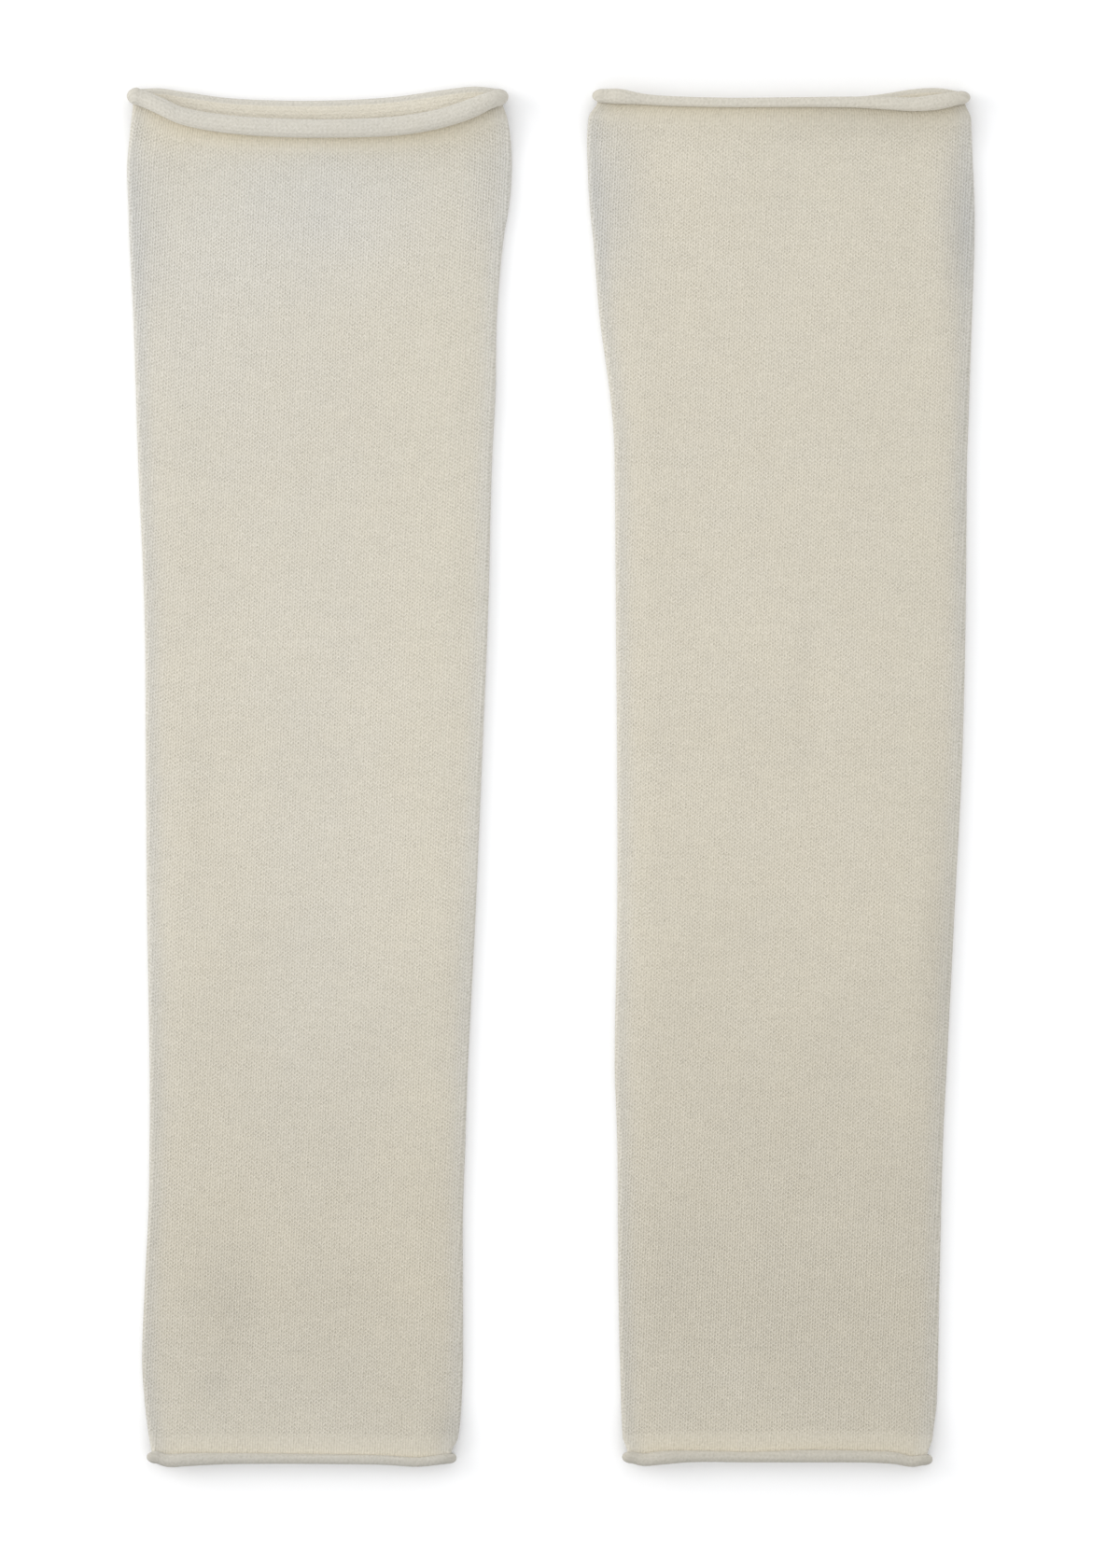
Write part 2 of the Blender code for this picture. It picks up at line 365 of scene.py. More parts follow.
RIGHT_TOP = Hem(
    rows=table(
        HemRow,
        (0.00, 273.6, 273.6, 5.4),
        (0.05, 273.6, 273.6, 6.0),
        (0.11, 271.8, 271.8, 4.4),
        (0.18, 270.8, 270.8, 4.0),
        (0.35, 270.1, 270.1, 3.9),
        (0.55, 270.3, 270.3, 4.0),
        (0.70, 270.5, 270.9, 4.4),
        (0.78, 270.4, 272.0, 5.0),
        (0.87, 270.3, 274.0, 5.6),
        (0.94, 271.6, 274.4, 6.2),
        (1.00, 272.8, 273.0, 5.4),
    ),
    left=-75.5,
    right=75.2,
    back_roll=4.4,
    gape=0.4,
    way_out=1.0,
    band=0.0,
    beside_roll=0.12,
    crease=0.0,
    outermost=0.0,
    warm=1.2,
)

RIGHT_BOTTOM = Hem(
    rows=table(
        HemRow,
        (0.00, -273.6, -273.6, 4.8),
        (0.04, -274.6, -274.6, 5.0),
        (0.10, -274.0, -274.0, 5.4),
        (0.21, -273.0, -273.0, 4.6),
        (0.40, -273.1, -273.1, 4.2),
        (0.61, -273.1, -273.1, 5.0),
        (0.80, -273.2, -273.2, 4.7),
        (0.90, -273.8, -273.8, 4.8),
        (0.96, -275.0, -275.0, 4.4),
        (1.00, -274.4, -274.4, 4.2),
    ),
    left=-63.6,
    right=60.2,
    back_roll=4.4,
    gape=0.2,
    way_out=-1.0,
    band=-0.02,
    beside_roll=-0.04,
    crease=-0.22,
    outermost=0.24,
    warm=0.4,
)

# Creases on the layers that show, in each tube's own X and Y
LEFT_FRONT_CREASES = table(
    Crease,
    (-40.0, -196.0, -34.0, -232.0, 9.0, -0.22),
    (-20.0, -226.0, 12.0, -214.0, 6.0, -0.12),
    (49.0, 196.0, 52.0, 120.0, 8.0, 0.18),
    (56.0, 40.0, 50.0, -60.0, 7.0, -0.14),
    (-58.0, 232.0, -62.0, 170.0, 7.0, -0.16),
    (10.0, 236.0, 16.0, 196.0, 16.0, -0.16),
)

RIGHT_FRONT_CREASES = table(
    Crease,
    (10.0, 66.0, 9.0, -2.0, 4.5, -0.45),
    (62.0, -28.0, 44.0, -150.0, 8.0, 0.30),
    (38.0, -190.0, 40.0, -240.0, 9.0, -0.18),
    (-44.0, 250.0, -62.0, 205.0, 5.0, -0.16),
    (-58.0, 246.0, -68.0, 215.0, 3.5, 0.14),
    (-30.0, -205.0, -34.0, -238.0, 8.0, -0.18),
)

# Similar creases on the backs, where the cloth lifts a little off the ground
LEFT_BACK_CREASES = table(
    Crease,
    (-12.0, 80.0, -15.0, 12.0, 6.0, 0.22),
    (38.0, -60.0, 30.0, -150.0, 7.0, 0.24),
    (-46.0, -180.0, -42.0, -226.0, 8.0, 0.2),
)

RIGHT_BACK_CREASES = table(
    Crease,
    (-36.0, 190.0, -30.0, 120.0, 7.0, 0.24),
    (20.0, 30.0, 26.0, -46.0, 6.0, 0.2),
    (-8.0, -150.0, -14.0, -214.0, 8.0, 0.22),
)

# Soft patches on the layers that show, placed in each tube's own X and Y
LEFT_PATCHES = table(
    Patch,
    (-70.0, 220.0, 9.0, 34.0, 0.035, 0.5, 0.6),
    (-48.0, 196.0, 34.0, 58.0, -0.02, 0.4, 0.1),
    (4.0, 232.0, 44.0, 34.0, -0.04, 0.8, 0.2),
    (-8.0, 256.0, 70.0, 7.0, -0.02, -0.8, 0.0),
    (68.0, 238.0, 10.0, 30.0, 0.01, 0.5, 0.7),
    (-34.0, -212.0, 9.0, 17.0, 0.04, 0.1, 0.3),
    (-42.0, -240.0, 5.0, 9.0, 0.03, 0.1, 0.2),
    (8.0, -204.0, 16.0, 6.0, 0.02, 0.0, 0.1),
    (-48.0, -14.0, 6.0, 15.0, 0.025, 0.0, 0.1),
    (51.0, -262.0, 6.0, 9.0, 0.08, 0.2, 0.0),
    (56.0, -90.0, 5.0, 60.0, 0.02, 0.1, 0.1),
    (0.0, -195.0, 120.0, 60.0, -0.025, -0.4, 0.3),
    (42.0, -40.0, 26.0, 300.0, -0.012, -0.25, 0.0),
    (-44.0, -60.0, 26.0, 160.0, 0.01, -0.25, 0.0),
)

RIGHT_PATCHES = table(
    Patch,
    (-70.0, 230.0, 13.0, 36.0, 0.03, 0.9, 0.7),
    (72.0, 222.0, 8.0, 34.0, 0.10, 0.9, 0.6),
    (73.0, 110.0, 6.0, 100.0, 0.06, 0.3, 0.3),
    (66.0, -80.0, 9.0, 80.0, 0.07, 0.1, 0.2),
    (40.0, -216.0, 18.0, 24.0, 0.005, -0.1, 0.1),
    (44.0, 90.0, 24.0, 200.0, 0.012, 0.0, 0.0),
    (9.5, 34.0, 4.0, 30.0, 0.035, 0.0, 0.0),
    (-64.0, -50.0, 8.0, 200.0, -0.045, 0.0, 0.0),
    (-46.0, 244.0, 24.0, 10.0, -0.03, 0.0, 0.0),
    (30.0, 264.0, 42.0, 9.0, 0.10, 0.1, 0.0),
    (-18.0, -244.0, 5.0, 14.0, -0.03, 0.0, 0.0),
    (0.0, -120.0, 120.0, 190.0, 0.027, -0.2, 0.0),
    (0.0, -205.0, 120.0, 60.0, -0.052, 0.0, 0.9),
)

WARMERS = (
    Warmer(
        "left_leg_warmer",
        -92.0,
        LEFT_TUBE,
        LEFT_TOP,
        LEFT_BOTTOM,
        LEFT_FRONT_CREASES,
        LEFT_BACK_CREASES,
        LEFT_PATCHES,
        0.16,
    ),
    Warmer(
        "right_leg_warmer",
        92.0,
        RIGHT_TUBE,
        RIGHT_TOP,
        RIGHT_BOTTOM,
        RIGHT_FRONT_CREASES,
        RIGHT_BACK_CREASES,
        RIGHT_PATCHES,
        -0.12,
    ),
)


def eased(share):
    """A smooth step from 0 to 1 with level ends."""
    share = np.clip(share, 0.0, 1.0)
    return share * share * (3.0 - 2.0 * share)


def near(distance, reach):
    """A soft bump: 1 at no distance, and next to nothing at twice the reach."""
    return np.exp(-((distance / reach) ** 2))


def read_table(rows, column, at):
    """A column's values at places between a table's rows, on a smooth curve through them."""
    places = np.array([row[0] for row in rows])
    values = np.array([getattr(row, column) for row in rows])
    order = np.arange(len(rows))
    before, after = np.maximum(order - 1, 0), np.minimum(order + 1, len(rows) - 1)
    slopes = (values[after] - values[before]) / (places[after] - places[before])
    at = np.clip(at, places[0], places[-1])
    lower = np.clip(np.searchsorted(places, at, side="right") - 1, 0, len(rows) - 2)
    upper = lower + 1
    width = places[upper] - places[lower]
    share = (at - places[lower]) / width
    level = values[lower] + eased(share) * (values[upper] - values[lower])
    bend_in = share * (1.0 - share) ** 2 * slopes[lower]
    bend_out = share * share * (share - 1.0) * slopes[upper]
    return level + width * (bend_in + bend_out)


def places_round():
    """A ring from the middle of the back layer, round by the right fold, and back to the middle."""
    half = FLAT_STEPS // 2
    bunched = 0.5 - 0.5 * np.cos(np.pi * np.arange(FLAT_STEPS + 1) / FLAT_STEPS)
    shares = 0.5 * (bunched + np.arange(FLAT_STEPS + 1) / FLAT_STEPS)
    turn = -0.5 * np.pi + np.pi * np.arange(1, FOLD_STEPS) / FOLD_STEPS
    down, up = -0.5 * np.pi, 0.5 * np.pi
    across = [shares[half:], np.ones(FOLD_STEPS - 1), shares[::-1], np.zeros(FOLD_STEPS - 1)]
    facing = [np.full(half + 1, down), turn, np.full(FLAT_STEPS + 1, up), np.pi - turn[::-1]]
    across.append(shares[: half + 1])
    facing.append(np.full(half + 1, down))
    return Ring(np.concatenate(across)[:, None], np.concatenate(facing)[:, None])


def faces_front(ring):
    """From 0 on the back layer to 1 on the front one."""
    return 0.5 + 0.5 * np.sin(ring.facing)


def roll_thickness(hem, ring):
    """The roll is thick on the layers, and thins where it bends round a fold."""
    upward = np.sin(ring.facing)
    flat_roll = np.where(upward > 0, read_table(hem.rows, "roll", ring.across), hem.back_roll)
    return SIDE_ROLL + (flat_roll - SIDE_ROLL) * upward * upward


def roll_start(hem, ring):
    """The Y at which the tube ends and its roll begins, half a roll inside the hem's outermost line."""
    front_half = 0.5 * read_table(hem.rows, "roll", ring.across)
    front = read_table(hem.rows, "front", ring.across) - hem.way_out * front_half
    back = read_table(hem.rows, "back", ring.across) - hem.way_out * 0.5 * hem.back_roll
    return back + (front - back) * faces_front(ring)


def inside_hem(hem, along, ring):
    """How far a Y lies inside the line where the roll begins."""
    return hem.way_out * (roll_start(hem, ring) - along)


def back_height(warmer, across, along):
    """The middle of the back layer's wall, which climbs onto its own roll at each end."""
    height = 0.5 * WALL
    back = Ring(across, np.full_like(across, -0.5 * np.pi))
    for hem in (warmer.top, warmer.bottom):
        inside = inside_hem(hem, along, back)
        level_part = 0.5 * hem.back_roll + ROLL_MARGIN
        height = height + (hem.back_roll - WALL) * (1.0 - eased((inside - level_part) / LIFT_REACH))
    return height


def layer_gap(warmer, across, along, from_fold):
    """The space between the two layers: less beside the folds, and more in a mouth that gapes."""
    gap = FOLD_GAP + (LAYER_GAP - FOLD_GAP) * eased(from_fold / FOLD_REACH)
    front = Ring(across, np.full_like(across, 0.5 * np.pi))
    for hem in (warmer.top, warmer.bottom):
        inside = inside_hem(hem, along, front)
        gap = gap + hem.gape * np.sin(np.pi * across) ** 2 * (1.0 - eased(inside / LIFT_REACH))
    return gap


def tube_edge(warmer, side, along):
    """The X of the wall's middle at a fold, drawn in at each end so that the roll has its reach."""
    outward = 1.0 if side == "right" else -1.0
    fold = Ring(np.array([[1.0 if side == "right" else 0.0]]), np.array([[0.0]]))
    edge = read_table(warmer.tube, side, along) - outward * 0.5 * WALL
    for hem in (warmer.top, warmer.bottom):
        start = roll_start(hem, fold)
        at_start = read_table(warmer.tube, side, start) - outward * 0.5 * WALL
        wanted = getattr(hem, side) - outward * (SIDE_ROLL - 0.5 * WALL)
        inside = inside_hem(hem, along, fold) - 0.5 * SIDE_ROLL - ROLL_MARGIN
        edge = edge + (wanted - at_start) * (1.0 - eased(inside / PINCH_REACH))
    return edge


def crease_heights(creases, x, y):
    """How far soft creases raise or lower the cloth."""
    total = np.zeros_like(x)
    for crease in creases:
        run_x, run_y = crease.x_to - crease.x_from, crease.y_to - crease.y_from
        length = math.hypot(run_x, run_y)
        along = ((x - crease.x_from) * run_x + (y - crease.y_from) * run_y) / length
        aside = ((x - crease.x_from) * run_y - (y - crease.y_from) * run_x) / length
        ends = eased(along / (0.5 * length)) * eased((length - along) / (0.5 * length))
        total += crease.height * ends * near(aside, crease.reach)
    return total


def wall_middle(warmer, ring, along):
    """The points in the middle of the wall's thickness, and the way out of the tube there."""
    left, right, flat_x = tube_span(warmer, ring, along)
    from_fold = np.minimum(flat_x - left, right - flat_x)
    x = flat_x + FOLD_RADIUS * np.cos(ring.facing)
    front = faces_front(ring)
    z = back_height(warmer, ring.across, along)
    z = z + (WALL + layer_gap(warmer, ring.across, along, from_fold)) * front
    calm = eased(from_fold / FOLD_REACH)
    z = z + calm * front * crease_heights(warmer.front_creases, x, along)
    z = z + calm * (1.0 - front) * crease_heights(warmer.back_creases, x, along)
    points = np.stack(np.broadcast_arrays(x, along, z), axis=-1)
    level = np.zeros_like(ring.facing)
    outward = np.stack([np.cos(ring.facing), level, np.sin(ring.facing)], axis=-1)
    return points, np.broadcast_to(outward, points.shape)


def lengthwise(warmer, ring):
    """The Y of each station of each strip, from the bottom roll's start to the top one's."""
    low, high = roll_start(warmer.bottom, ring), roll_start(warmer.top, ring)
    beside_hem = HEM_REACH * (np.arange(HEM_STEPS + 1) / HEM_STEPS) ** HEM_BUNCHING
    middle = np.arange(1, LENGTH_STEPS) / LENGTH_STEPS
    between = (low + HEM_REACH) + (high - low - 2.0 * HEM_REACH) * middle
    return np.concatenate([low + beside_hem, between, high - beside_hem[::-1]], axis=1)


def unit(vectors):
    return vectors / np.linalg.norm(vectors, axis=-1, keepdims=True)


def rolled_end(hem, ring, middles, outward):
    """The skins' points round the roll that carries on from the last station of each strip."""
    way_out = unit(middles[:, -1] - middles[:, -2])
    outward = outward[:, -1]
    outward = unit(outward - np.sum(outward * way_out, axis=-1, keepdims=True) * way_out)
    turn_radius = 0.5 * (roll_thickness(hem, ring) - WALL)
    outside = turn_radius + 0.5 * WALL
    tuck = (turn_radius - 0.5 * WALL - ROLL_CLEARANCE) / outside
    tucked = np.pi - np.arccos(tuck)
    first = np.pi * np.arange(1, HALF_ROLL_STEPS + 1) / HALF_ROLL_STEPS
    first = np.broadcast_to(first, (len(tucked), HALF_ROLL_STEPS))
    second = np.pi + tucked * np.arange(1, TUCKED_ROLL_STEPS + 1) / TUCKED_ROLL_STEPS
    angles = np.concatenate([first, second], axis=1)[..., None]
    centre = (middles[:, -1] + turn_radius * outward)[:, None]
    turned = np.sin(angles) * way_out[:, None] - np.cos(angles) * outward[:, None]
    outer = centre + (turn_radius - 0.5 * WALL)[..., None] * turned
    inner = centre + outside[..., None] * turned
    return outer, inner, angles[..., 0] * turn_radius


def cloth_skins(warmer, ring):
    """The wall's outer and inner points on each strip, and the courses counted along it."""
    alongs = lengthwise(warmer, ring)
    middles, outward = wall_middle(warmer, ring, alongs)
    top_outer, top_inner, top_run = rolled_end(warmer.top, ring, middles, outward)
    low_outer, low_inner, low_run = rolled_end(
        warmer.bottom, ring, middles[:, ::-1], outward[:, ::-1]
    )
    outer = [low_outer[:, ::-1], middles + 0.5 * WALL * outward, top_outer]
    inner = [low_inner[:, ::-1], middles - 0.5 * WALL * outward, top_inner]
    length = roll_start(warmer.top, ring) - roll_start(warmer.bottom, ring)
    tube_courses = courses_in_tube(warmer)
    tube_run = tube_courses * (alongs - alongs[:, :1]) / length
    runs = [-low_run[:, ::-1] / COURSE, tube_run, tube_courses + top_run / COURSE]
    return np.concatenate(outer, axis=1), np.concatenate(inner, axis=1), np.concatenate(runs, axis=1)


def courses_in_tube(warmer):
    """The number of courses between the two rolls, the same on every wale."""
    fold = Ring(np.array([[0.0]]), np.array([[0.0]]))
    length = roll_start(warmer.top, fold) - roll_start(warmer.bottom, fold)
    return round(float(length[0, 0]) / COURSE)


def tube_span(warmer, ring, along):
    """The X of the two fold centres, and of each place between them."""
    left = tube_edge(warmer, "left", along) + FOLD_RADIUS
    right = tube_edge(warmer, "right", along) - FOLD_RADIUS
    return left, right, left + (right - left) * ring.across


def wales_counted(warmer, ring):
    """The wales counted round the tube from its front's middle, at each station of each strip."""
    alongs = lengthwise(warmer, ring)
    left, right, flat_x = tube_span(warmer, ring, alongs)
    down = FOLD_RADIUS * (0.5 * np.pi - np.arcsin(np.clip(np.sin(ring.facing), -1.0, 1.0)))
    on_back = np.isclose(np.sin(ring.facing), -1.0)
    by_right = (np.arange(len(ring.across)) < len(ring.across) // 2)[:, None]
    sideways, edge = np.where(by_right, 1.0, -1.0), np.where(by_right, right, left)
    arc = flat_x + sideways * down + 2.0 * (edge - flat_x) * on_back
    below_fan = np.minimum(alongs, roll_start(warmer.top, ring) - FAN_REACH)
    even_left, even_right, _ = tube_span(warmer, ring, below_fan)
    drawn_in = (right - left) / (even_right - even_left)
    wales = (arc / drawn_in - WALE_LEAN * alongs) / WALE
    return with_rolls(wales)


def with_rolls(values):
    """Values on the tube's stations, carried on unchanged round the rolls at both ends."""
    return np.pad(values, ((0, 0), (ROLL_STEPS, ROLL_STEPS)), mode="edge")


def ankle_painted_shade(alongs):
    """Painted shade: how much darker the colour is painted towards the ankle, where the light falls
    off.
    """
    return ANKLE_PAINTED_SHADE * eased((ANKLE_FROM - alongs) / ANKLE_RUN)


def roll_deep(hem):
    """How deep the roll's colour is, from its first station out of the tube to its last, with painted
    shade on its outermost side and the crease's painted light on its tucked end.
    """
    steps = np.arange(1, ROLL_STEPS + 1)
    # Painted shade on the roll's outermost side, and the crease's painted light on its tucked end
    outermost = near(steps / HALF_ROLL_STEPS - OUTERMOST_TURN, OUTERMOST_REACH)
    tucked = eased((steps - HALF_ROLL_STEPS) / TUCKED_ROLL_STEPS)
    return ROLL_DEEP + hem.outermost * outermost + TUCKED_SHARE * hem.crease * tucked


def outer_state(warmer, ring, alongs, flat_x, from_fold):
    """The face side's state: the smooth bands by the hems, painted shade and light by the folds, by the
    hems and towards the ankle, and the given patches.
    """
    # Painted shade towards the ankle, and darker, cooler painted shade beside each fold
    deep = ankle_painted_shade(alongs) + FOLD_PAINTED_SHADE * near(from_fold, FOLD_BAND)
    cool = BASE_COOL + warmer.cool + FOLD_PAINTED_COOL_SHADE * near(from_fold, FOLD_COOL_BAND)
    opened = np.ones_like(alongs)
    for hem in (warmer.top, warmer.bottom):
        inside = inside_hem(hem, alongs, ring)
        smooth = 1.0 - eased((inside - HEM_BAND) / HEM_FADE)
        # Painted light and shade by each hem, in its smooth band, beside its roll and in its crease,
        # and painted warm bounce light beside the roll
        deep = deep + hem.band * smooth
        opened = opened * (1.0 - smooth)
        off_roll = np.maximum(inside - 0.5 * read_table(hem.rows, "roll", ring.across), 0.0)
        beside = hem.beside_roll * np.exp(-off_roll / BESIDE_ROLL_REACH)
        painted_crease = hem.crease * np.exp(-off_roll / CREASE_REACH)
        deep = deep + (beside + painted_crease) * faces_front(ring)
        cool = cool - hem.warm * np.exp(-off_roll / WARM_REACH) * faces_front(ring)
    # A patch's deeper and cooler colour is partly the cloth's own tone and partly painted light and
    # shade
    for patch in warmer.patches:
        here = near(flat_x - patch.x, patch.reach_x) * near(alongs - patch.y, patch.reach_y)
        here = here * faces_front(ring)
        deep = deep + patch.deep * here
        cool = cool + patch.cool * here
        opened = opened + patch.open * here * opened
    return np.stack([with_rolls(values) for values in (deep, cool, opened)], axis=-1)


def inner_state(warmer, alongs, from_fold):
    """The purl side's state: one on the rolls, with painted shade on the knobs, and another between
    them, inside the tube, paler and warmer as painted bounce light.
    """
    in_tube = slice(ROLL_STEPS, -ROLL_STEPS)
    # Painted shade on the knob where each roll bends round a fold
    deep = with_rolls(ankle_painted_shade(alongs) + KNOB_PAINTED_SHADE * near(from_fold, KNOB_BAND))
    # Painted bounce light: the tube's inside paler than the cloth
    deep[:, in_tube] = ankle_painted_shade(alongs) + INSIDE_PAINTED_BOUNCE_DEEP
    deep[:, :ROLL_STEPS] += roll_deep(warmer.bottom)[::-1]
    deep[:, -ROLL_STEPS:] += roll_deep(warmer.top)
    cool = np.full_like(deep, BASE_COOL + warmer.cool + ROLL_COOL)
    # Painted warm bounce light inside the tube
    cool[:, in_tube] = BASE_COOL + warmer.cool + INSIDE_PAINTED_BOUNCE_COOL
    opened = np.full_like(deep, ROLL_OPEN)
    opened[:, in_tube] = INSIDE_OPEN
    return np.stack([deep, cool, opened], axis=-1)


def cloth_states(warmer, ring):
    """How deep, cool and open the outer and the inner skin are on each strip, at each station."""
    alongs = lengthwise(warmer, ring)
    left, right, flat_x = tube_span(warmer, ring, alongs)
    from_fold = np.minimum(flat_x - left, right - flat_x)
    outer = outer_state(warmer, ring, alongs, flat_x, from_fold)
    return outer, inner_state(warmer, alongs, from_fold)


def skin_faces(columns, stations, first_vertex):
    """Four corners for each face of a skin, as (place, station) pairs and as vertex numbers."""
    place, station = np.meshgrid(np.arange(columns), np.arange(stations - 1), indexing="ij")
    place, station = place.ravel(), station.ravel()
    places = np.stack([place, place, place + 1, place + 1], axis=1)
    at = np.stack([station, station + 1, station + 1, station], axis=1)
    return places, at, first_vertex + (places % columns) * stations + at


def edge_faces(columns, stations, station):
    """The cut edge of the cloth between its two skins, at one end, facing out of the cloth."""
    place, following = np.arange(columns), np.arange(columns) + 1
    if station == 0:
        places = np.stack([place, following, following, place], axis=1)
    else:
        places = np.stack([following, place, place, following], axis=1)
    at = np.full_like(places, station)
    skin = np.array([0, 0, 1, 1]) * columns * stations
    return places, at, skin + (places % columns) * stations + at


def shell_mesh(name, outer, inner, wales, courses, states):
    """The closed shell, with the counted wales and courses as its pattern coordinates."""
    columns, stations = len(outer) - 1, outer.shape[1]
    points = np.concatenate([outer[:-1].reshape(-1, 3), inner[:-1].reshape(-1, 3)]) * MM
    places, at, face = skin_faces(columns, stations, 0)
    inner_skin = [part[:, ::-1] for part in skin_faces(columns, stations, columns * stations)]
    ends = [edge_faces(columns, stations, station) for station in (0, stations - 1)]
    places = np.concatenate([places, inner_skin[0], ends[0][0], ends[1][0]])
    at = np.concatenate([at, inner_skin[1], ends[0][1], ends[1][1]])
    faces = np.concatenate([face, inner_skin[2], ends[0][2], ends[1][2]])
    mesh = bpy.data.meshes.new(name)
    mesh.from_pydata(points.tolist(), [], faces.tolist())
    pattern = mesh.uv_layers.new(name=PATTERN)
    corners = np.stack([wales[places, at], courses[places, at]], axis=-1)
    pattern.uv.foreach_set("vector", corners.ravel().astype(np.float32))
    state = mesh.attributes.new(STATE, "FLOAT_VECTOR", "POINT")
    values = np.concatenate([skin[:-1].reshape(-1, 3) for skin in states])
    state.data.foreach_set("vector", values.ravel().astype(np.float32))
    purl = np.ones(len(faces), dtype=np.int32)
    purl[: len(face)] = 0
    mesh.polygons.foreach_set("material_index", purl)
    mesh.shade_smooth()
    mesh.validate()
    return mesh


def add_warmer(warmer, materials):
    ring = places_round()
    outer, inner, courses = cloth_skins(warmer, ring)
    wales = wales_counted(warmer, ring)
    states = cloth_states(warmer, ring)
    mesh = shell_mesh(f"{warmer.name}_knit", outer, inner, wales, courses, states)
    for material in materials:
        mesh.materials.append(material)
    piece = bpy.data.objects.new(f"{warmer.name}_knit", mesh)
    piece.location.x = warmer.centre * MM
    bpy.context.scene.collection.objects.link(piece)
    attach(piece, "root")
    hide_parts(warmer.name)


def feed(tree, sockets, values):
    """Set each socket to its number, or link it to the output given for it."""
    for socket, value in zip(sockets, values):
        if isinstance(value, (int, float)):
            socket.default_value = value
        else:
            tree.links.new(value, socket)


def math_node(tree, operation, *values):
    node = tree.nodes.new("ShaderNodeMath")
    node.operation = operation
    feed(tree, node.inputs, values)
    return node.outputs[0]


def weighted_sum(tree, *terms):
    """The sum of several (value, weight) pairs."""
    total = math_node(tree, "MULTIPLY", *terms[0])
    for value, weight in terms[1:]:
        total = math_node(tree, "MULTIPLY_ADD", value, weight, total)
    return total


def wave(tree, turns):
    """A cosine of a number of turns."""
    return math_node(tree, "COSINE", math_node(tree, "MULTIPLY", turns, 2.0 * math.pi))


def counted_stitches(tree):
    """The wales and courses counted on the cloth, as two separate values."""
    source = tree.nodes.new("ShaderNodeUVMap")
    source.uv_map = PATTERN
    parts = tree.nodes.new("ShaderNodeSeparateXYZ")
    tree.links.new(source.outputs["UV"], parts.inputs["Vector"])
    return parts.outputs["X"], parts.outputs["Y"]


def carried_state(tree):
    """How deep, cool and open the cloth is, as three separate values."""
    source = tree.nodes.new("ShaderNodeAttribute")
    source.attribute_name = STATE
    parts = tree.nodes.new("ShaderNodeSeparateXYZ")
    tree.links.new(source.outputs["Vector"], parts.inputs["Vector"])
    return parts.outputs["X"], parts.outputs["Y"], parts.outputs["Z"]


def cloth_noise(tree, wales, courses, grain):
    """Smooth noise over the counted stitches, from about -0.5 to 0.5."""
    place = tree.nodes.new("ShaderNodeCombineXYZ")
    across = math_node(tree, "MULTIPLY", wales, grain.per_wale)
    feed(tree, place.inputs, (across, math_node(tree, "MULTIPLY", courses, grain.per_course)))
    noise = tree.nodes.new("ShaderNodeTexNoise")
    noise.noise_dimensions = "4D"
    noise.inputs["Scale"].default_value = 1.0
    noise.inputs["Detail"].default_value = grain.layers
    noise.inputs["Roughness"].default_value = NOISE_ROUGHNESS
    noise.inputs["W"].default_value = grain.seed
    tree.links.new(place.outputs["Vector"], noise.inputs["Vector"])
    return math_node(tree, "SUBTRACT", noise.outputs["Fac"], 0.5)


def new_cloth(name):
    material = bpy.data.materials.new(name)
    material.use_nodes = True
    tree = material.node_tree
    surface = tree.nodes["Principled BSDF"]
    surface.inputs["Roughness"].default_value = CLOTH_ROUGHNESS
    surface.inputs["Specular IOR Level"].default_value = CLOTH_SPECULAR
    surface.inputs["Sheen Weight"].default_value = NAP_SHEEN
    surface.inputs["Sheen Roughness"].default_value = NAP_ROUGHNESS
    surface.inputs["Sheen Tint"].default_value = NAP_TINT
    return material, tree, surface


def raise_surface(tree, surface, height, depth):
    bump = tree.nodes.new("ShaderNodeBump")
    bump.inputs["Strength"].default_value = 1.0
    bump.inputs["Distance"].default_value = depth * MM
    tree.links.new(height, bump.inputs["Height"])
    tree.links.new(bump.outputs["Normal"], surface.inputs["Normal"])


def colour_surface(tree, surface, light_share, tone, cool):
    """Light yarn with painted shade between the yarns, a tint over both, then a tone over all.

    The tint isn't held between 0 and 1, so cloth less cool than 0 is warmer than the yarn.
    """
    yarn = tree.nodes.new("ShaderNodeMix")
    yarn.data_type = "RGBA"
    yarn.clamp_factor = True
    yarn.inputs["A"].default_value = PAINTED_SHADE_BETWEEN_YARNS
    yarn.inputs["B"].default_value = YARN
    tree.links.new(light_share, yarn.inputs["Factor"])
    drift = cloth_noise(tree, *counted_stitches(tree), COOL_DRIFT)
    cool_here = math_node(tree, "MULTIPLY_ADD", drift, DRIFT_COOL, cool)
    tinted = tree.nodes.new("ShaderNodeMix")
    tinted.data_type = "RGBA"
    tinted.blend_type = "MULTIPLY"
    tinted.clamp_factor = False
    tinted.inputs["B"].default_value = COOL_TINT
    tree.links.new(cool_here, tinted.inputs["Factor"])
    tree.links.new(yarn.outputs["Result"], tinted.inputs["A"])
    toned = tree.nodes.new("ShaderNodeVectorMath")
    toned.operation = "SCALE"
    tree.links.new(tinted.outputs["Result"], toned.inputs[0])
    tree.links.new(math_node(tree, "ADD", tone, 1.0), toned.inputs["Scale"])
    tree.links.new(toned.outputs["Vector"], surface.inputs["Base Color"])


